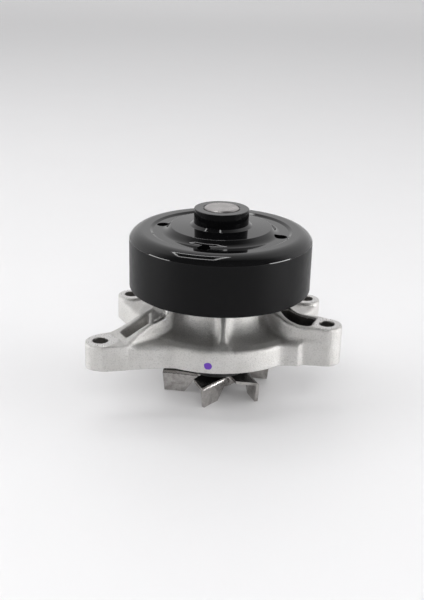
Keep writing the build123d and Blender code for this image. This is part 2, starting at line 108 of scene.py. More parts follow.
# The rib's front edge runs between these two points, each its distance out and its height.
RIB_FOOT = (39.3, FLANGE_TOP)
RIB_TOP = (20.0, 33.0)
RIB_BACK_Y = -15.0
RIB_FILLET = 3.4
ARM_FILLET = 1.8
ARM_EDGE = 1.0
BELL_FILLET = 3.0
POCKET_EDGE = 0.8
WEDGE_EDGE = 0.4

# Machined into the casting: the pads, the recess in the mounting face, the seal's boss, and the
# stepped bore, each step its radius and the heights it runs between.
PAD_MARGIN = 0.4
RECESS_R = 34.0
RECESS_TOP = 2.5
SEAL_BOSS_R = 20.0
SEAL_BOSS_LOW = -6.0
SEAL_BOSS_HIGH = 5.0
BORE_STEPS = ((15.0, 10.0, 60.0), (13.0, 0.0, 20.0), (15.5, -20.0, 6.5))


def smooth_min(a, b, reach):
    """The union of two fields, with a fillet of about reach in the corner between them."""
    near = np.maximum(reach - np.abs(a - b), 0) / reach
    return np.minimum(a, b) - near * near * reach / 4


def smooth_max(a, b, reach):
    """The intersection of two fields, with its edge rounded by about reach."""
    return -smooth_min(-a, -b, reach)


def circle(x, y, centre, radius):
    """The plan distance to a circle, negative inside."""
    return np.hypot(x - centre[0], y - centre[1]) - radius


def tapered_ear(x, y, a, a_radius, b, b_radius):
    """The plan distance to the hull of two circles."""
    length = hypot(b[0] - a[0], b[1] - a[1])
    ux, uy = (b[0] - a[0]) / length, (b[1] - a[1]) / length
    px, py = x - a[0], y - a[1]
    along = px * ux + py * uy
    across = np.abs(px * uy - py * ux)
    slope = (a_radius - b_radius) / length
    run = np.sqrt(1 - slope * slope)
    k = along * run - across * slope
    side = across * run + along * slope - a_radius
    at_a = np.hypot(along, across) - a_radius
    at_b = np.hypot(along - length, across) - b_radius
    return np.where(k < 0, at_a, np.where(k > run * length, at_b, side))


def outline(x, y, points):
    """The plan distance to a closed outline, negative inside."""
    nearest = np.full(np.broadcast(x, y).shape, 1e9)
    inside = np.zeros(nearest.shape, bool)
    for (ax, ay), (bx, by) in zip(points, np.roll(points, -1, axis=0)):
        ex, ey = bx - ax, by - ay
        t = np.clip(((x - ax) * ex + (y - ay) * ey) / (ex * ex + ey * ey), 0, 1)
        nearest = np.minimum(nearest, (x - ax - t * ex) ** 2 + (y - ay - t * ey) ** 2)
        if ay != by:
            crosses = ((ay > y) != (by > y)) & (x < ex * (y - ay) / ey + ax)
            inside ^= crosses
    return np.where(inside, -1, 1) * np.sqrt(nearest)


CURVE_STEPS = 8


def curve(*points):
    """Points along a smooth curve through the given points, without the last one."""
    p = np.array(points, float)
    p = np.vstack((2 * p[0] - p[1], p, 2 * p[-1] - p[-2]))
    t = np.linspace(0, 1, CURVE_STEPS, endpoint=False)[:, None]
    spans = []
    for a, b, c, d in zip(p, p[1:], p[2:], p[3:]):
        square = 2 * a - 5 * b + 4 * c - d
        cube = 3 * b - a - 3 * c + d
        spans.append(0.5 * (2 * b + (c - a) * t + square * t**2 + cube * t**3))
    return np.vstack(spans)


def corners(*points):
    """Sharp corners of an outline."""
    return np.array(points, float)


LEFT_ARM = np.vstack((
    corners((-50.8, -43.4), (-40.5, -41.2), (-38.7, -39.1), (-30.5, -31.4), (-21.2, -22.6)),
    corners((-20.3, -20.6), (-19.5, -14.0), (-10.0, -6.0), (-24.0, -9.0)),
    curve((-31.8, -15.2), (-40.5, -21.9), (-48.9, -25.8), (-56.3, -29.8), (-59.0, -35.5), (-57.3, -41.0),
          (-50.8, -43.4)),
))
LEFT_DEEP_POCKET = np.vstack((
    corners((-44.0, -28.0), (-40.6, -34.4), (-31.6, -28.6)),
    curve((-31.6, -19.8), (-38.0, -24.6), (-44.0, -28.0)),
))
LEFT_WEDGE = corners((-29.4, -28.9), (-24.0, -23.9), (-23.2, -22.6), (-24.6, -22.9), (-29.4, -27.2))
POCKET_FLOOR = 4.5
WEDGE_FLOOR = 16.5
# The height of each arm's top, by the distance out along the left arm and by x for the right one.
LEFT_DIRECTION = radians(210)
LEFT_TOP_RUN = (5.0, 20.0, 26.0, 34.5, 42.0, 47.5, 55.5, 80.0)
LEFT_TOP_HEIGHT = (28.9, 28.9, 27.6, 20.0, 18.0, 15.8, 12.0, 12.0)

RIGHT_ARM = np.vstack((
    curve((20.4, -14.0), (25.6, -21.2), (31.8, -27.4), (38.6, -30.2)),
    corners((38.6, -30.2), (43.5, -30.4)),
    curve((48.4, -31.5), (54.1, -29.0), (55.7, -25.4), (54.8, -20.7), (51.4, -17.9),
          (45.2, -14.4), (38.4, -12.2), (33.0, -4.0)),
    corners((33.0, -4.0), (12.0, 0.0)),
))
RIGHT_POCKET = np.vstack((
    curve((27.6, -8.0), (30.0, -18.4), (34.7, -25.0), (39.8, -27.2)),
    corners((39.8, -27.2), (41.6, -26.2), (42.2, -23.4), (44.4, -18.8)),
    curve((43.0, -17.0), (37.8, -14.3), (32.6, -7.0)),
    corners((32.6, -7.0)),
))
RIGHT_TOP_RUN = (5.0, 18.0, 26.0, 31.0, 36.5, 60.0)
RIGHT_TOP_HEIGHT = (26.0, 24.0, 20.8, 19.0, 18.2, 18.2)


def blur(field, passes):
    """Softens every edge and corner of a field a little."""
    for _ in range(passes):
        for axis in range(3):
            padded = np.pad(field, [(1, 1) if i == axis else (0, 0) for i in range(3)], mode="edge")
            n = field.shape[axis]
            take = [slice(None)] * 3
            parts = []
            for start in range(3):
                take[axis] = slice(start, start + n)
                parts.append(padded[tuple(take)])
            field = parts[0] * 0.25 + parts[1] * 0.5 + parts[2] * 0.25
    return field


def bolts():
    """Where each bolt hole is, and how high its pad is, from the record."""
    found = {}
    for mount in record["mounts"]:
        if mount["kind"] == "bore":
            name = mount["name"].removesuffix("_bolt")
            px, py, pz = (v / MM for v in mount["pos_m"])
            found[name] = ((px, py), 2 * pz)
    return found


def housing_field(x, y, z):
    """The housing's field over a grid: x, y and z are arrays that broadcast together."""
    r = np.hypot(x, y)
    angle = np.degrees(np.arctan2(y, x))
    plan = r - SIDE_R
    for middle, half in LOBES:
        turn = (angle - middle + 180) % 360 - 180
        wedge = r * np.sin(np.radians(np.clip(np.abs(turn) - half, -90, 90)))
        plan = smooth_min(plan, np.maximum(r - LOBE_R, wedge), BAY_FILLET)
    ears = np.full(plan.shape, 1e9)
    places = bolts()
    for name, (boss_r, partners) in BOSSES.items():
        centre, _ = places[name]
        for px, py, partner_r in partners:
            ears = np.minimum(ears, tapered_ear(x, y, centre, boss_r, (px, py), partner_r))
    plan = smooth_min(plan, ears, BAY_FILLET)
    plan = smooth_min(plan, tapered_ear(x, y, *LEDGE_ENDS), LEDGE_FILLET)
    left_plan = outline(x, y, LEFT_ARM)
    right_plan = outline(x, y, RIGHT_ARM)
    whole_plan = np.minimum(plan, np.minimum(left_plan, right_plan))

    flange = smooth_max(plan, z - FLANGE_TOP, FLANGE_EDGE)

    run = x * cos(LEFT_DIRECTION) + y * sin(LEFT_DIRECTION)
    left_top = np.interp(run, LEFT_TOP_RUN, LEFT_TOP_HEIGHT)
    left = smooth_max(left_plan, z - left_top, ARM_EDGE)
    right_top = np.interp(x + 0 * y, RIGHT_TOP_RUN, RIGHT_TOP_HEIGHT)
    right = smooth_max(right_plan, z - right_top, ARM_EDGE)

    neck_z = FLANGE_TOP + BELL_ARC_R
    flare = BELL_ARC_R - np.hypot(r - BELL_FOOT_R, z - neck_z)
    bell = np.maximum(np.maximum(flare, r - BELL_FOOT_R), z - neck_z)
    neck_r = BELL_FOOT_R - BELL_ARC_R
    taper = np.arctan2(neck_r - BEARING_BOSS_R, BELL_NECK_TOP - neck_z)
    cone = (r - neck_r) * np.cos(taper) + (z - neck_z) * np.sin(taper)
    cone = np.maximum(cone, np.maximum(neck_z - OVERLAP - z, z - BELL_NECK_TOP))
    boss = np.maximum(r - BEARING_BOSS_R, z - BEARING_BOSS_TOP)
    bell = smooth_min(np.minimum(bell, cone), boss, BEARING_BOSS_FILLET)

    slope = np.array((RIB_TOP[1] - RIB_FOOT[1], RIB_FOOT[0] - RIB_TOP[0]))
    slope = slope / np.hypot(*slope)
    rib_front = (-y - RIB_FOOT[0]) * slope[0] + (z - RIB_FOOT[1]) * slope[1]
    rib_side = np.abs(x - RIB_X) - RIB_HALF_WIDTH + RIB_DRAFT * np.minimum(rib_front, 0)
    rib = np.maximum(np.maximum(rib_front, rib_side), np.maximum(y - RIB_BACK_Y, z - RIB_TOP[1]))

    body = smooth_min(bell, rib, RIB_FILLET)
    body = smooth_min(body, left, ARM_FILLET)
    body = smooth_min(body, right, ARM_FILLET)
    body = smooth_min(body, flange, BELL_FILLET)
    for name, (boss_r, _) in BOSSES.items():
        centre, height = places[name]
        body = np.minimum(body, np.maximum(circle(x, y, centre, boss_r), z - height))
    body = np.maximum(body, whole_plan)

    deep = np.maximum(outline(x, y, LEFT_DEEP_POCKET), POCKET_FLOOR - z)
    wedge_cut = np.maximum(outline(x, y, LEFT_WEDGE), WEDGE_FLOOR - z)
    kidney = np.maximum(outline(x, y, RIGHT_POCKET), POCKET_FLOOR - z)
    for pocket, edge in ((deep, POCKET_EDGE), (wedge_cut, WEDGE_EDGE), (kidney, POCKET_EDGE)):
        body = smooth_max(body, -pocket, edge)
    body = blur(body, round((CAST_ROUNDING / GRID_STEP) ** 2 * 2))

    # Machined after the blur, so that these edges stay sharp.
    for name, (boss_r, _) in BOSSES.items():
        centre, height = places[name]
        body = np.maximum(body, -np.maximum(circle(x, y, centre, boss_r + PAD_MARGIN), height - z))
        body = np.maximum(body, -circle(x, y, centre, BOLT_R))
    body = np.maximum(body, -np.maximum(r - RECESS_R, z - RECESS_TOP))
    body = np.maximum(body, FACE_Z - z)
    seal_boss = np.maximum(r - SEAL_BOSS_R, np.maximum(SEAL_BOSS_LOW - z, z - SEAL_BOSS_HIGH))
    body = np.minimum(body, seal_boss)
    for bore_r, low, high in BORE_STEPS:
        body = np.maximum(body, -np.maximum(r - bore_r, np.maximum(low - z, z - high)))
    return body


NEWTON_STEPS = 2
NEWTON_SHARE = 0.9
LEAST_SLOPE = 0.04
CELL_REACH = 0.6


def surface_mesh(name, field, low, step):
    """A mesh of quads where the field crosses zero. low is the grid's lowest corner."""
    inside = field < 0
    cell_count = np.zeros([n - 1 for n in field.shape], np.int8)
    for dx in (0, 1):
        for dy in (0, 1):
            for dz in (0, 1):
                nx, ny, nz = cell_count.shape
                cell_count += inside[dx:dx + nx, dy:dy + ny, dz:dz + nz]
    active = (cell_count > 0) & (cell_count < 8)
    cells = np.argwhere(active)
    index = np.full(active.shape, -1, np.int32)
    index[active] = np.arange(len(cells))

    # Each cell's point is the mean of the places where the field crosses zero along its twelve edges.
    total = np.zeros((len(cells), 3))
    crossings = np.zeros(len(cells))
    for axis in range(3):
        others = [i for i in range(3) if i != axis]
        for u in (0, 1):
            for v in (0, 1):
                a = cells.copy()
                a[:, others[0]] += u
                a[:, others[1]] += v
                b = a.copy()
                b[:, axis] += 1
                fa = field[a[:, 0], a[:, 1], a[:, 2]]
                fb = field[b[:, 0], b[:, 1], b[:, 2]]
                hit = (fa < 0) != (fb < 0)
                t = np.where(hit, fa / np.where(hit, fa - fb, 1), 0)
                point = a.astype(float)
                point[:, axis] += t
                total += point * hit[:, None]
                crossings += hit
    points = total / crossings[:, None]

    # Newton steps put the points on the surface itself, and none may leave its cell by far.
    gradient = np.gradient(field)
    limit = np.array(field.shape) - 1.001
    start = points.copy()
    for _ in range(NEWTON_STEPS):
        clipped = np.clip(points, 0, limit)
        base = clipped.astype(int)
        part = clipped - base
        value = np.zeros(len(points))
        slope = np.zeros((len(points), 3))
        for corner in np.ndindex(2, 2, 2):
            weight = np.prod(np.where(corner, part, 1 - part), axis=1)
            at = base + corner
            value += weight * field[at[:, 0], at[:, 1], at[:, 2]]
            for i in range(3):
                slope[:, i] += weight * gradient[i][at[:, 0], at[:, 1], at[:, 2]]
        size = np.maximum((slope**2).sum(1), LEAST_SLOPE * step * step)
        points = points - NEWTON_SHARE * slope * (value / size)[:, None]
    points = np.clip(points, start - CELL_REACH, start + CELL_REACH)

    faces = []
    for axis in range(3):
        u, v = [i for i in range(3) if i != axis]
        lower = [slice(None)] * 3
        upper = [slice(None)] * 3
        lower[axis] = slice(0, -1)
        upper[axis] = slice(1, None)
        changes = inside[tuple(lower)] != inside[tuple(upper)]
        edges = np.argwhere(changes)
        keep = (edges[:, u] > 0) & (edges[:, v] > 0)
        keep &= (edges[:, u] < field.shape[u] - 1) & (edges[:, v] < field.shape[v] - 1)
        edges = edges[keep]
        starts_inside = inside[edges[:, 0], edges[:, 1], edges[:, 2]]
        ring = []
        for du, dv in ((0, 0), (-1, 0), (-1, -1), (0, -1)):
            cell = edges.copy()
            cell[:, u] += du
            cell[:, v] += dv
            ring.append(index[cell[:, 0], cell[:, 1], cell[:, 2]])
        quad = np.stack(ring, axis=1)
        flip = starts_inside if axis != 1 else ~starts_inside
        quad[flip] = quad[flip][:, ::-1]
        faces.append(quad[:, ::-1])
    faces = np.vstack(faces)
    mesh = bpy.data.meshes.new(name)
    mesh.vertices.add(len(points))
    mesh.vertices.foreach_set("co", ((points * step + low) * MM).astype(np.float32).ravel())
    mesh.loops.add(faces.size)
    mesh.loops.foreach_set("vertex_index", faces.astype(np.int32).ravel())
    mesh.polygons.add(len(faces))
    mesh.polygons.foreach_set("loop_start", np.arange(0, faces.size, 4, dtype=np.int32))
    mesh.update(calc_edges=True)
    mesh.validate()
    mesh.polygons.foreach_set("use_smooth", np.ones(len(mesh.polygons), bool))
    return mesh


def stand_in(name, mesh, node, body):
    """Puts a mesh in the scene in place of a CAD node."""
    piece = bpy.data.objects.new(name, mesh)
    bpy.context.scene.collection.objects.link(piece)
    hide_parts(node)
    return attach(piece, body)


GRID_MARGIN = 3


def build_housing():
    """The casting, meshed over the CAD housing's box and a few cells beyond it."""
    low, high = (np.array(corner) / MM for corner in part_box("pump_housing"))
    low = low - GRID_MARGIN * GRID_STEP
    counts = np.ceil((high - low) / GRID_STEP).astype(int) + GRID_MARGIN + 1
    x, y, z = (low[i] + GRID_STEP * np.arange(counts[i]) for i in range(3))
    field = housing_field(x[:, None, None], y[None, :, None], z[None, None, :])
    mesh = surface_mesh("housing_casting", field.astype(np.float32), low, GRID_STEP)
    return stand_in("housing_casting", mesh, "pump_housing", "housing")


# ---------------------------------------------------------------- the pulley and its hub, in millimetres

TURNS = 360
PULLEY_R = 42.5
RIM_Z = 26.6
CREASE_Z = 50.3
WALL = 3.0
RIM_ROUNDING = 0.8
SHOULDER_CENTRE = (36.37, 47.28)
SHOULDER_R = 6.83
CROWN = (35.9, 54.1)
INNER_SHOULDER_CENTRE = (35.9, 47.5)
INNER_SHOULDER_R = 3.6
# The lower ring with the holes, and the disc raised above it, with its rounded edge.
RING_OUTER_R = 31.5
RING_INNER_R = 25.9
RING_Z = 53.3
DISC_EDGE = (23.4, 55.85)
DISC_Z = 56.3
HUB_R = 12.7
HUB_TOP = 64.1
HUB_FOOT = 50.0
COLLAR_R = 14.3
COLLAR_TOP = 57.4
SHAFT_R = 7.95
HUB_CHAMFER = 0.8
HOLES = 4
HOLE_R = 3.0
HOLE_CIRCLE_R = 28.2
HOLE_ANGLE = -15.5
DRILL_DEPTH = 12.0
DRILL_SIDES = 40

ROUNDING_STEPS = 16
ROUNDING_SHARE = 0.45
GUARD = 0.12
GUARD_SHARE = 0.48
STRAIGHT = 1.55
CREASE_ANGLE = radians(32)


def rounded(profile):
    """A closed (radius, height) outline with each corner rounded by its third value.

    A guard point a little beyond each end of a rounding keeps the shading of the flat beside it flat.
    """
    places = np.array(profile, float)
    made = []
    for before, here, after in zip(np.roll(places, 1, axis=0), places, np.roll(places, -1, axis=0)):
        back, ahead = before[:2] - here[:2], after[:2] - here[:2]
        back_length, ahead_length = np.hypot(*back), np.hypot(*ahead)
        back, ahead = back / back_length, ahead / ahead_length
        half = np.arccos(np.clip(back @ ahead, -1, 1)) / 2
        if here[2] == 0 or half > STRAIGHT:
            made.append(here[:2])
            continue
        limit = ROUNDING_SHARE * min(back_length, ahead_length)
        reach = min(here[2] / np.tan(half), limit)
        radius = reach * np.tan(half)
        middle = (back + ahead) / np.hypot(*(back + ahead))
        centre = here[:2] + middle * radius / np.sin(half)
        sweep = pi / 2 - half
        side = here[:2] + back * reach - centre
        turn = np.sign(side[0] * ahead[1] - side[1] * ahead[0]) or 1
        spots = [here[:2] + back * min(reach + GUARD, GUARD_SHARE * back_length)]
        for step in range(ROUNDING_STEPS + 1):
            angle = turn * 2 * sweep * step / ROUNDING_STEPS
            c, s = np.cos(angle), np.sin(angle)
            spots.append(centre + (side[0] * c - side[1] * s, side[0] * s + side[1] * c))
        spots.append(here[:2] + ahead * min(reach + GUARD, GUARD_SHARE * ahead_length))
        made.extend(spots)
    return np.array(made)


def arc_corners(centre, radius, start, end, count):
    """Corners without rounding along an arc, for rounded()."""
    angles = np.radians(np.linspace(start, end, count))
    return [(centre[0] + radius * cos(a), centre[1] + radius * sin(a), 0) for a in angles]


def turned_mesh(name, profile):
    """A closed profile turned about the shaft axis."""
    angle = np.linspace(0, 2 * pi, TURNS, endpoint=False)
    count = len(profile)
    radius, height = profile.T
    points = np.stack((
        np.outer(np.cos(angle), radius),
        np.outer(np.sin(angle), radius),
        np.broadcast_to(height, (TURNS, count)),
    ), axis=-1).reshape(-1, 3)
    ring, spot = np.meshgrid(np.arange(TURNS), np.arange(count), indexing="ij")
    next_ring, next_spot = (ring + 1) % TURNS, (spot + 1) % count
    quads = np.stack((
        ring * count + spot,
        next_ring * count + spot,
        next_ring * count + next_spot,
        ring * count + next_spot,
    ), axis=-1).reshape(-1, 4)
    mesh = bpy.data.meshes.new(name)
    mesh.from_pydata((points * MM).tolist(), [], quads.tolist())
    made = bmesh.new()
    made.from_mesh(mesh)
    bmesh.ops.recalc_face_normals(made, faces=made.faces)
    made.to_mesh(mesh)
    made.free()
    return mesh


def cut(piece, cutter):
    """Cuts one mesh out of a piece for good, and drops the cutter."""
    bpy.context.scene.collection.objects.link(cutter)
    trim = piece.modifiers.new("cut", "BOOLEAN")
    trim.object = cutter
    trim.operation = "DIFFERENCE"
    graph = bpy.context.evaluated_depsgraph_get()
    done = bpy.data.meshes.new_from_object(piece.evaluated_get(graph))
    piece.modifiers.clear()
    piece.data = done
    bpy.data.objects.remove(cutter)


def smooth(mesh):
    """Smooth shading, but for the edges sharper than the crease angle."""
    mesh.polygons.foreach_set("use_smooth", np.ones(len(mesh.polygons), bool))
    mesh.set_sharp_from_angle(angle=CREASE_ANGLE)


def build_pulley():
    """The drawn cup, turned from its section and drilled."""
    crown_r, crown_z = CROWN
    inner_r = PULLEY_R - WALL
    crease_tilt = np.degrees(np.arctan2(CREASE_Z - SHOULDER_CENTRE[1], PULLEY_R - SHOULDER_CENTRE[0]))
    profile = rounded([
        # The outside, from the rim up over the shoulder and in to the hub.
        (PULLEY_R, RIM_Z, RIM_ROUNDING),
        (PULLEY_R, CREASE_Z, 1.6),
        *arc_corners(SHOULDER_CENTRE, SHOULDER_R, crease_tilt + 16, 92, 12),
        (32.8, crown_z - 0.05, 0.8),
        (RING_OUTER_R, RING_Z, 0.4),
        (RING_INNER_R, RING_Z, 4.0),
        (*DISC_EDGE, 0.5),
        (COLLAR_R, DISC_Z, 1.0),
        (HUB_R + 0.15, COLLAR_TOP, 0.15),
        (HUB_R, COLLAR_TOP, 0),
        # The inside, from the hub out and down to the rim.
        (HUB_R, DISC_Z - WALL, 0.3),
        (22.3, 55.8 - WALL, 1.5),
        (24.1, RING_Z - WALL, 1.5),
        (33.6, RING_Z - WALL, 1.0),
        (crown_r, crown_z - WALL, 1.0),
        *arc_corners(INNER_SHOULDER_CENTRE, INNER_SHOULDER_R, 84, 4, 7),
        (inner_r, CREASE_Z - 4.0, 0),
        (inner_r, RIM_Z, RIM_ROUNDING),
    ])
    mesh = turned_mesh("pulley_drawn_cup", profile)
    piece = stand_in("pulley_drawn_cup", mesh, "pulley_shell", "rotor")
    for turn in range(HOLES):
        angle = radians(HOLE_ANGLE + 360 / HOLES * turn)
        drill = bpy.data.meshes.new("drill")
        made = bmesh.new()
        bmesh.ops.create_cone(
            made,
            segments=DRILL_SIDES,
            radius1=HOLE_R * MM,
            radius2=HOLE_R * MM,
            depth=DRILL_DEPTH * MM,
            cap_ends=True,
        )
        spot = Vector((HOLE_CIRCLE_R * cos(angle), HOLE_CIRCLE_R * sin(angle), RING_Z)) * MM
        bmesh.ops.translate(made, verts=made.verts, vec=spot)
        made.to_mesh(drill)
        made.free()
        cut(piece, bpy.data.objects.new("drill", drill))
    smooth(piece.data)
    return piece


def build_hub():
    """The hub, a ring with its bore and its foot chamfered."""
    profile = rounded([
        (SHAFT_R, HUB_FOOT, 0),
        (HUB_R - HUB_CHAMFER, HUB_FOOT, 0.2),
        (HUB_R, HUB_FOOT + HUB_CHAMFER, 0.2),
        (HUB_R, HUB_TOP, 0.4),
        (SHAFT_R + HUB_CHAMFER, HUB_TOP, 0.25),
        (SHAFT_R, HUB_TOP - HUB_CHAMFER, 0),
    ])
    mesh = turned_mesh("pulley_hub_ring", profile)
    piece = stand_in("pulley_hub_ring", mesh, "pulley_hub", "rotor")
    smooth(piece.data)
    return piece


# ---------------------------------------------------------------- materials

def shader(name, colour, roughness, metallic=0.0, **sockets):
    """A new material and its Principled node. Extra sockets are set by name, with _ for a space."""
    made = bpy.data.materials.new(name)
    made.use_nodes = True
    principled = made.node_tree.nodes["Principled BSDF"]
    principled.inputs["Base Color"].default_value = (*colour, 1)
    principled.inputs["Roughness"].default_value = roughness
    principled.inputs["Metallic"].default_value = metallic
    for socket, value in sockets.items():
        principled.inputs[socket.replace("_", " ")].default_value = value
    return made, principled


class Graph:
    """Short calls for building one material's nodes."""

    def __init__(self, made, coordinates="Object"):
        self.tree = made.node_tree
        self.place = self.add("ShaderNodeTexCoord").outputs[coordinates]

    def add(self, kind, **settings):
        """A new node, with its settings."""
        node = self.tree.nodes.new(kind)
        for key, value in settings.items():
            setattr(node, key, value)
        return node

    def link(self, value, socket):
        """Joins a node's output to a socket, or sets the socket to a constant."""
        if isinstance(value, bpy.types.NodeSocket):
            self.tree.links.new(value, socket)
        else:
            socket.default_value = value

    def scaled(self, scale):
        """Object coordinates stretched by a scale for each axis."""
        node = self.add("ShaderNodeMapping")
        self.link(self.place, node.inputs["Vector"])
        node.inputs["Scale"].default_value = scale
        return node.outputs["Vector"]

    def noise(self, size, detail=2.0, roughness=0.5, vector=None, distortion=0.0):
        """Noise from 0 to 1 with grains of about size metres."""
        node = self.add("ShaderNodeTexNoise")
        self.link(self.place if vector is None else vector, node.inputs["Vector"])
        node.inputs["Scale"].default_value = 1 / size
        node.inputs["Detail"].default_value = detail
        node.inputs["Roughness"].default_value = roughness
        node.inputs["Distortion"].default_value = distortion
        return node.outputs["Fac"]

    def cells(self, size):
        """Distance to the middle of the nearest of many cells of about size metres, in cells."""
        node = self.add("ShaderNodeTexVoronoi", feature="F1")
        self.link(self.place, node.inputs["Vector"])
        node.inputs["Scale"].default_value = 1 / size
        return node.outputs["Distance"]

    def math(self, kind, a, b=0.0, c=0.0):
        """One sum on up to three values."""
        node = self.add("ShaderNodeMath", operation=kind, use_clamp=False)
        for socket, value in zip(node.inputs, (a, b, c)):
            self.link(value, socket)
        return node.outputs[0]

    def remap(self, value, low, high, to_low, to_high, kind="LINEAR"):
        """A value from one range to another, kept inside it."""
        node = self.add("ShaderNodeMapRange", clamp=True, interpolation_type=kind)
        for socket, v in zip(node.inputs, (value, low, high, to_low, to_high)):
            self.link(v, socket)
        return node.outputs[0]

    def mix(self, share, a, b):
        """A colour from a, at share 0, to b, at share 1."""
        node = self.add("ShaderNodeMix", data_type="RGBA")
        self.link(share, node.inputs["Factor"])
        for value, socket in ((a, node.inputs[6]), (b, node.inputs[7])):
            if isinstance(value, tuple):
                value = (*value, 1)
            self.link(value, socket)
        return node.outputs[2]

    def axis(self, index):
        """One of the three coordinates."""
        node = self.add("ShaderNodeSeparateXYZ")
        self.link(self.place, node.inputs[0])
        return node.outputs[index]

    def radius(self):
        """Distance from the shaft axis."""
        flat = self.scaled((1, 1, 0))
        node = self.add("ShaderNodeVectorMath", operation="LENGTH")
        self.link(flat, node.inputs[0])
        return node.outputs["Value"]

    def distance(self, point):
        """Distance from a point of the frame."""
        node = self.add("ShaderNodeVectorMath", operation="DISTANCE")
        self.link(self.place, node.inputs[0])
        node.inputs[1].default_value = point
        return node.outputs["Value"]

    def bump(self, height, strength, depth, below=None):
        """Bump up to depth metres, on top of the bump below it."""
        node = self.add("ShaderNodeBump")
        node.inputs["Strength"].default_value = strength
        node.inputs["Distance"].default_value = depth
        self.link(height, node.inputs["Height"])
        if below is not None:
            self.link(below, node.inputs["Normal"])
        return node.outputs["Normal"]


PAINT_DAB = (-0.0044, -0.0420, 0.0036)
PAINT_DAB_R = 0.0017
PAINT_DAB_WANDER = 0.0008
PAINT_DAB_EDGE = (0.0003, 0.0005)
CAST_METALLIC = 0.94
# Above this height the impeller's plate is painted near black as painted shade; PLATE_EDGE is the blend
# either side of it.
PLATE_TOP = -0.0150
PLATE_EDGE = (-0.00035, -0.0001)
TURNED_RING_PITCH = 0.00035


def cast_aluminium():
    """As-cast aluminium with a dark speckle, and the dab of purple paint on the flange's edge."""
    made, out = shader("cast_aluminium", (0.77, 0.76, 0.74), 0.4, 1.0)
    g = Graph(made)
    patches = g.noise(0.012, 3.0, 0.6)
    grain = g.noise(0.0007, 3.0, 0.75)
    pits = g.remap(g.cells(0.0011), 0.0, 0.35, 0.0, 1.0)
    base = g.mix(g.remap(patches, 0.35, 0.65, 0.0, 1.0), (0.64, 0.63, 0.61), (0.72, 0.71, 0.695))
    speckled = g.mix(g.remap(grain, 0.32, 0.5, 0.42, 0.0), base, (0.30, 0.295, 0.285))
    dab_edge = g.math("MULTIPLY_ADD", g.noise(0.0013, 2.0), PAINT_DAB_WANDER, g.distance(PAINT_DAB))
    dab = g.remap(dab_edge, PAINT_DAB_R + PAINT_DAB_EDGE[0], PAINT_DAB_R + PAINT_DAB_EDGE[1], 1.0, 0.0)
    g.link(g.mix(dab, speckled, (0.13, 0.035, 0.42)), out.inputs["Base Color"])
    g.link(g.math("MULTIPLY", g.math("SUBTRACT", 1.0, dab), CAST_METALLIC), out.inputs["Metallic"])
    uneven = g.math("ADD", grain, g.math("MULTIPLY", patches, 0.5))
    g.link(g.remap(uneven, 0.5, 1.0, 0.46, 0.58), out.inputs["Roughness"])
    rough = g.bump(grain, 1.0, 0.0003)
    g.link(g.bump(pits, 0.2, 0.00012, rough), out.inputs["Normal"])
    return made


def machined_aluminium():
    """Milled pads, face and bore, with fine marks across them."""
    made, out = shader("machined_aluminium", (0.80, 0.79, 0.78), 0.3, 1.0)
    g = Graph(made)
    marks = g.noise(0.0004, 1.0, vector=g.scaled((1.0, 0.12, 1.0)))
    patches = g.noise(0.006, 2.0)
    g.link(g.mix(patches, (0.60, 0.59, 0.58), (0.68, 0.67, 0.66)), out.inputs["Base Color"])
    g.link(g.remap(marks, 0.3, 0.7, 0.24, 0.40), out.inputs["Roughness"])
    g.link(g.bump(marks, 0.15, 0.00005), out.inputs["Normal"])
    return made


def drilled_aluminium():
    """The walls of the bolt holes: drill marks round the bore, on a dark base that is painted shade inside
    the holes.
    """
    made, out = shader("drilled_aluminium", (0.30, 0.29, 0.28), 0.4, 1.0)
    g = Graph(made)
    marks = g.noise(0.0003, 2.0, vector=g.scaled((0.1, 0.1, 1.0)))
    # Painted shade: the walls are painted dark for the shade deep in the holes, with the drill marks on it.
    g.link(g.mix(marks, (0.34, 0.33, 0.32), (0.50, 0.49, 0.47)), out.inputs["Base Color"])
    g.link(g.bump(marks, 0.3, 0.00006), out.inputs["Normal"])
    return made


def pocket_painted_shade():
    """The inside of the right arm's deep pocket: a rough, grainy cast surface painted dark, which is painted
    shade.
    """
    made, out = shader("pocket_painted_shade", (0.22, 0.21, 0.20), 0.62, 1.0)
    g = Graph(made)
    grain = g.noise(0.0009, 3.0, 0.75)
    # Painted shade: a dark base for the shade deep in the pocket, with the grain on it.
    g.link(g.mix(grain, (0.13, 0.125, 0.12), (0.30, 0.29, 0.28)), out.inputs["Base Color"])
    g.link(g.bump(grain, 0.9, 0.0002), out.inputs["Normal"])
    return made


def black_coat(name, roughness, ior):
    """Thin black paint with a few specks that are a little paler."""
    made, out = shader(name, (0.003, 0.003, 0.0033), roughness, IOR=ior)
    g = Graph(made)
    film = g.noise(0.004, 3.0)
    specks = g.remap(g.noise(0.0005, 2.0), 0.68, 0.76, 0.0, 1.0)
    g.link(g.mix(specks, (0.003, 0.003, 0.0033), (0.012, 0.012, 0.013)), out.inputs["Base Color"])
    g.link(g.remap(film, 0.3, 0.7, roughness * 0.88, roughness * 1.12), out.inputs["Roughness"])
    g.link(g.bump(g.noise(0.0012, 2.0), 0.02, 0.00005), out.inputs["Normal"])
    return made


def steel(name, colour, roughness, strength=0.1):
    """Bare steel with fine marks and a mottled tone."""
    made, out = shader(name, colour, roughness, 1.0)
    g = Graph(made)
    marks = g.noise(0.0005, 2.0)
    mottle = g.noise(0.0035, 3.0, 0.65)
    darker = tuple(c * 0.72 for c in colour)
    g.link(g.mix(g.remap(mottle, 0.35, 0.62, 1.0, 0.0), colour, darker), out.inputs["Base Color"])
    g.link(g.remap(mottle, 0.3, 0.7, roughness * 1.25, roughness * 0.8), out.inputs["Roughness"])
    g.link(g.bump(marks, strength, 0.00005), out.inputs["Normal"])
    return made


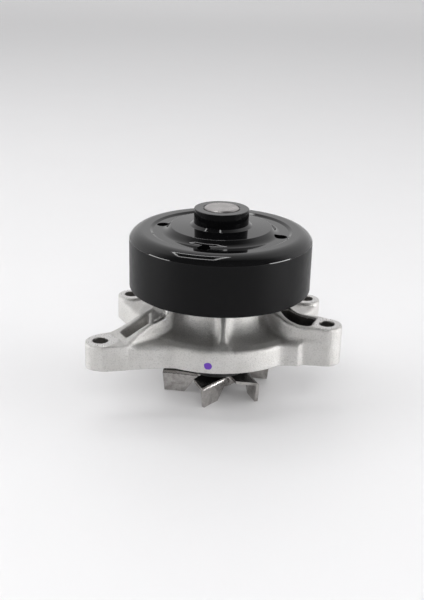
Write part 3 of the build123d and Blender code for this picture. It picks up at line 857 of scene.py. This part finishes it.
def turned_steel(name, colour, roughness):
    """Bare steel with fine rings about the shaft axis."""
    made, out = shader(name, colour, roughness, 1.0)
    g = Graph(made)
    rings = g.math("SINE", g.math("MULTIPLY", g.radius(), 2 * pi / TURNED_RING_PITCH))
    rough = g.math("MULTIPLY_ADD", g.noise(0.0008, 3.0), 1.6, g.math("MULTIPLY", rings, 0.3))
    stain = g.noise(0.004, 3.0)
    darker = tuple(c * 0.85 for c in colour)
    g.link(g.mix(g.remap(stain, 0.35, 0.65, 1.0, 0.0), colour, darker), out.inputs["Base Color"])
    g.link(g.remap(stain, 0.3, 0.7, roughness * 1.15, roughness * 0.85), out.inputs["Roughness"])
    g.link(g.bump(rough, 0.12, 0.00004), out.inputs["Normal"])
    return made


def moulded(name, colour, roughness, strength=0.12):
    """Rubber, plastic, carbon or ceramic with a fine even grain."""
    made, out = shader(name, colour, roughness)
    g = Graph(made)
    fine = g.noise(0.0007, 3.0)
    soft = g.noise(0.004, 2.0)
    lighter = tuple(min(1.0, c * 1.35 + 0.004) for c in colour)
    g.link(g.mix(g.remap(soft, 0.35, 0.65, 0.0, 1.0), colour, lighter), out.inputs["Base Color"])
    g.link(g.remap(fine, 0.3, 0.7, roughness * 0.9, min(1.0, roughness * 1.1)), out.inputs["Roughness"])
    g.link(g.bump(fine, strength, 0.00006), out.inputs["Normal"])
    return made


def impeller_steel():
    """Stained satin vanes, with the plate above their bends painted near black: painted shade and painted
    reflection of the dark housing over it.
    """
    made = steel("stamped_steel", (0.62, 0.60, 0.585), 0.22)
    out = made.node_tree.nodes["Principled BSDF"]
    g = Graph(made)
    stains = g.remap(g.noise(0.006, 4.0, 0.7, distortion=0.8), 0.42, 0.6, 0.0, 0.65)
    # Painted shade: the plate's top is near black, for the shade and the dark reflection under the housing.
    painted_plate_shade = g.remap(g.axis(2), PLATE_TOP + PLATE_EDGE[0], PLATE_TOP + PLATE_EDGE[1], 0.0, 1.0)
    bare = out.inputs["Base Color"].links[0].from_socket
    stained = g.mix(stains, bare, (0.27, 0.255, 0.24))
    g.link(g.mix(painted_plate_shade, stained, (0.03, 0.029, 0.028)), out.inputs["Base Color"])
    return made


CAST = cast_aluminium()
MACHINED = machined_aluminium()
DRILLED = drilled_aluminium()
POCKET_SHADE = pocket_painted_shade()
# The belt face's satin roughness is its own; its low IOR dims its reflections, which is painted shade.
BELT_COAT = black_coat("black_coat_satin", 0.36, 1.22)
GLOSS_COAT = black_coat("black_coat_gloss", 0.06, 1.5)
# Painted shade: a copy of the gloss coat with a lower IOR, so that the hub's side reads darker.
HUB_SIDE_SHADE_COAT = black_coat("black_coat_hub_side_shade", 0.05, 1.13)
NODE_MATERIALS = {
    "bearing_shaft": turned_steel("ground_steel", (0.44, 0.42, 0.415), 0.30),
    "bearing_outer_ring": turned_steel("bearing_ring_steel", (0.64, 0.63, 0.62), 0.22),
    "impeller": impeller_steel(),
    "seal_casing": steel("pressed_steel", (0.66, 0.65, 0.63), 0.24),
    "bellows_band": steel("band_steel", (0.68, 0.67, 0.65), 0.22),
    "spring_plate": steel("plate_steel", (0.62, 0.61, 0.60), 0.28),
    "seal_spring": steel("spring_steel", (0.58, 0.57, 0.56), 0.25),
    "seat_cup": moulded("cup_rubber", (0.02, 0.02, 0.02), 0.6),
    "upper_ball_row": steel("ball_steel", (0.74, 0.74, 0.75), 0.08, strength=0.02),
    "upper_ball_cage": moulded("cage_nylon", (0.10, 0.22, 0.13), 0.5),
    "upper_bearing_seal": moulded("bearing_seal_rubber", (0.02, 0.02, 0.02), 0.55),
    "slinger": moulded("slinger_rubber", (0.03, 0.03, 0.03), 0.6),
    "seal_bellows": moulded("bellows_rubber", (0.02, 0.02, 0.022), 0.62),
    "carbon_ring": moulded("seal_carbon", (0.04, 0.04, 0.043), 0.42),
    "seat_ring": moulded("seat_ceramic", (0.80, 0.77, 0.72), 0.3, strength=0.04),
}
for row in ("ball_row", "ball_cage", "bearing_seal"):
    NODE_MATERIALS["lower_" + row] = NODE_MATERIALS["upper_" + row]


def dress(piece, *materials):
    """Gives a piece its materials, in place of any it has."""
    piece.data.materials.clear()
    for made in materials:
        piece.data.materials.append(made)


for name, made in NODE_MATERIALS.items():
    dress(nodes[name], made)


def face_values(mesh, what):
    """A value with three parts for each face, as three arrays."""
    values = np.zeros(len(mesh.polygons) * 3)
    mesh.polygons.foreach_get(what, values)
    return values.reshape(-1, 3).T


def mark_faces(mesh, index):
    """Gives each face the material with its index."""
    mesh.polygons.foreach_set("material_index", index.astype(np.int32))


MACHINED_MATERIAL, DRILLED_MATERIAL, POCKET_SHADE_MATERIAL = 1, 2, 3
BORE_EDGE_R = 15.7
FACE_TOP = 0.05
PAD_TOLERANCE = 0.12
PAD_REACH = 0.3
HOLE_REACH = 0.15
POCKET_REACH = 0.3
# The heights in the right pocket that take the painted shade.
POCKET_SHADE_HEIGHTS = (POCKET_FLOOR - 0.5, HIGH_PAD - 1.2)
BELT_FACE_R = PULLEY_R - 0.9
BELT_FACE_TOP = CREASE_Z - 0.3
SIDE_TILT = 0.4


def mark_machined(piece):
    """Gives machined faces, bolt holes and the right pocket their own materials; the darkness of the holes
    and the pocket is painted shade.
    """
    x, y, z = face_values(piece.data, "center") / MM
    machined = (z < FACE_TOP) | (np.hypot(x, y) < BORE_EDGE_R)
    drilled = np.zeros(len(z), bool)
    for name, (centre, height) in bolts().items():
        near = circle(x, y, centre, BOSSES[name][0] + PAD_REACH)
        machined |= (near < 0) & (np.abs(z - height) < PAD_TOLERANCE)
        drilled |= circle(x, y, centre, BOLT_R + HOLE_REACH) < 0
    # The deep part of the right pocket takes the painted shade.
    in_pocket = outline(x, y, RIGHT_POCKET) < POCKET_REACH
    pocket_shade = in_pocket & (z < POCKET_SHADE_HEIGHTS[1]) & (z > POCKET_SHADE_HEIGHTS[0])
    index = machined * MACHINED_MATERIAL
    index[drilled] = DRILLED_MATERIAL
    index[pocket_shade] = POCKET_SHADE_MATERIAL
    mark_faces(piece.data, index)


def mark_belt_face(piece):
    """The face that the belt runs on takes the second material: its satin is the face's own, and its low IOR
    is painted shade.
    """
    x, y, z = face_values(piece.data, "center") / MM
    belt = (np.hypot(x, y) > BELT_FACE_R) & (z < BELT_FACE_TOP)
    mark_faces(piece.data, belt)


def mark_hub_side(piece):
    """The hub's side takes the second material, the gloss coat with a lower IOR so that it reflects less:
    painted shade.
    """
    tilt = np.abs(face_values(piece.data, "normal")[2])
    mark_faces(piece.data, tilt < SIDE_TILT)


housing = build_housing()
dress(housing, CAST, MACHINED, DRILLED, POCKET_SHADE)
mark_machined(housing)
pulley = build_pulley()
dress(pulley, GLOSS_COAT, BELT_COAT)
mark_belt_face(pulley)
hub = build_hub()
dress(hub, GLOSS_COAT, HUB_SIDE_SHADE_COAT)
mark_hub_side(hub)

# ---------------------------------------------------------------- floor, light and camera

CAMERA_TARGET = Vector((-0.003355, 0.0, 0.018724))
CAMERA_DISTANCE = 0.44082
CAMERA_PITCH = radians(21.039)
CAMERA_ROLL = radians(1.508)
CAMERA_LENS = 55.487
CAMERA_SENSOR = 36.0
CAMERA_NEAR = 0.01


def build_camera():
    """The photo's camera, fitted to the circles of the pulley, hub and shaft."""
    camera = bpy.data.objects.new("camera", bpy.data.cameras.new("camera"))
    bpy.context.scene.collection.objects.link(camera)
    camera.data.lens = CAMERA_LENS
    camera.data.sensor_width = CAMERA_SENSOR
    camera.data.clip_start = CAMERA_NEAR
    back = Vector((0, -cos(CAMERA_PITCH), sin(CAMERA_PITCH)))
    camera.location = CAMERA_TARGET + back * CAMERA_DISTANCE
    aim = (-back).to_track_quat("-Z", "Y").to_matrix()
    camera.rotation_euler = (aim @ Matrix.Rotation(CAMERA_ROLL, 3, "Z")).to_euler()
    bpy.context.scene.camera = camera


FLOOR_HALF = 12.0
OBJECT_MIDDLE = (0, 0, 0.02)


def build_floor():
    """A pale floor that the impeller's vanes stand on."""
    level = cad_bounds[0][2]
    ends = (-FLOOR_HALF, FLOOR_HALF)
    mesh = bpy.data.meshes.new("floor")
    mesh.from_pydata([(x, y, level) for y in ends for x in ends], [], [(0, 1, 3, 2)])
    floor = bpy.data.objects.new("floor", mesh)
    bpy.context.scene.collection.objects.link(floor)
    made, out = shader("floor", (0.815, 0.812, 0.82), 0.5, IOR=1.3)
    g = Graph(made)
    tone = g.mix(g.noise(0.05, 2.0), (0.808, 0.805, 0.814), (0.822, 0.819, 0.826))
    g.link(tone, out.inputs["Base Color"])
    dress(floor, made)


def light(name, size, place, power, aim=OBJECT_MIDDLE):
    """A soft rectangular light of size metres, aimed at a point."""
    data = bpy.data.lights.new(name, "AREA")
    data.shape = "RECTANGLE"
    data.size, data.size_y = size
    data.energy = power
    lamp = bpy.data.objects.new(name, data)
    bpy.context.scene.collection.objects.link(lamp)
    lamp.location = place
    lamp.rotation_euler = (Vector(aim) - Vector(place)).to_track_quat("-Z", "Y").to_euler()
    return lamp


# The room's light goes from front to back, and dims towards the top, over these parts of a
# direction's own depth and height.
SKY_BACK = 0.85
SKY_FRONT = 0.08
SKY_TOP_SHARE = 0.55
WALL_DEPTHS = (-0.28, 0.33)
CEILING_HEIGHTS = (0.7, 0.98)
HATCH_MIDDLE = (-0.27, 0.13)
HATCH_SIDE = 0.56
HATCH_TURN = radians(-16.5)
HATCH_HEIGHT = 1.0
HATCH_DIM = 0.15
HATCH_RADIANCE = 6.8
HATCH_WIDTHS = (0.045, 0.075, 0.045, 0.08)
PULLEY_TOP = 0.055


def build_world():
    """A bright wall behind, a dim ceiling with a dark square hatch, and a dark room on the camera's side."""
    world = bpy.data.worlds.new("studio")
    bpy.context.scene.world = world
    world.use_nodes = True
    g = Graph(world, "Generated")
    across, depth, height = g.axis(0), g.axis(1), g.axis(2)
    wall = g.remap(depth, *WALL_DEPTHS, SKY_FRONT, SKY_BACK, "SMOOTHSTEP")
    ceiling = g.remap(height, *CEILING_HEIGHTS, 1.0, SKY_TOP_SHARE, "SMOOTHSTEP")
    on_ceiling_x = g.math("SUBTRACT", g.math("DIVIDE", across, height), HATCH_MIDDLE[0])
    on_ceiling_y = g.math("SUBTRACT", g.math("DIVIDE", depth, height), HATCH_MIDDLE[1])
    c, s = cos(HATCH_TURN), sin(HATCH_TURN)
    u = g.math("MULTIPLY_ADD", on_ceiling_x, c, g.math("MULTIPLY", on_ceiling_y, s))
    v = g.math("MULTIPLY_ADD", on_ceiling_y, c, g.math("MULTIPLY", on_ceiling_x, -s))
    off_middle = g.math("MAXIMUM", g.math("ABSOLUTE", u), g.math("ABSOLUTE", v))
    below = g.math("LESS_THAN", height, 0.0)
    beside = g.math("GREATER_THAN", off_middle, HATCH_SIDE / 2)
    lit = g.math("MAXIMUM", below, beside)
    hatch = g.math("MULTIPLY_ADD", lit, 1 - HATCH_DIM, HATCH_DIM)
    strength = g.math("MULTIPLY", g.math("MULTIPLY", wall, ceiling), hatch)
    background = world.node_tree.nodes["Background"]
    g.link(strength, background.inputs["Strength"])
    background.inputs["Color"].default_value = (1.0, 0.995, 1.0, 1)


def build_hatch_lights():
    """A thin strip light along each side of the ceiling's hatch."""
    for side, width in enumerate(HATCH_WIDTHS):
        power = HATCH_RADIANCE * pi * width * HATCH_SIDE
        turn = HATCH_TURN + side * pi / 2
        place = (
            HATCH_MIDDLE[0] * HATCH_HEIGHT + cos(turn) * HATCH_SIDE / 2,
            HATCH_MIDDLE[1] * HATCH_HEIGHT + sin(turn) * HATCH_SIDE / 2,
            HATCH_HEIGHT + PULLEY_TOP,
        )
        strip = light(f"hatch_strip_{side}", (width, HATCH_SIDE), place, power)
        strip.rotation_euler = (0, 0, turn)


# A low box light at each side of the object: where it is, and its power in watts.
BOX_LIGHTS = {"left_box": ((-0.95, -0.2, 0.115), 3.4), "right_box": ((0.95, -0.25, 0.115), 5.2)}
BOX_SIZE = (0.55, 0.24)
# The fill lights: each one's direction in degrees about the shaft, and its power in watts.
FILL_LIGHTS = {"front": (-90, 11.5), "left": (180, 6.2), "right": (0, 5.6), "back": (90, 1.0)}
FILL_SIZE = (1.3, 1.0)
FILL_DISTANCE = 1.7
FILL_ELEVATION = radians(38)
FAR_FLOOR_SIZE = (5.0, 2.5)
FAR_FLOOR_Y = 3.4
FAR_FLOOR_HEIGHT = 1.7
FAR_FLOOR_POWER = 24.0


def build_fill_lights():
    """Wide soft lights all round, and one over the far floor, that show in no reflection."""
    along = FILL_DISTANCE * cos(FILL_ELEVATION)
    up = FILL_DISTANCE * sin(FILL_ELEVATION)
    for name, (degrees, power) in FILL_LIGHTS.items():
        place = (along * cos(radians(degrees)), along * sin(radians(degrees)), up)
        light(f"fill_{name}", FILL_SIZE, place, power).visible_glossy = False
    place = (0, FAR_FLOOR_Y, FAR_FLOOR_HEIGHT)
    far = light("fill_far_floor", FAR_FLOOR_SIZE, place, FAR_FLOOR_POWER, aim=(0, FAR_FLOOR_Y, 0))
    far.visible_glossy = False


build_camera()
build_floor()
build_world()
for name, (place, power) in BOX_LIGHTS.items():
    light(name, BOX_SIZE, place, power)
build_hatch_lights()
build_fill_lights()
bpy.context.scene.view_settings.view_transform = "Standard"
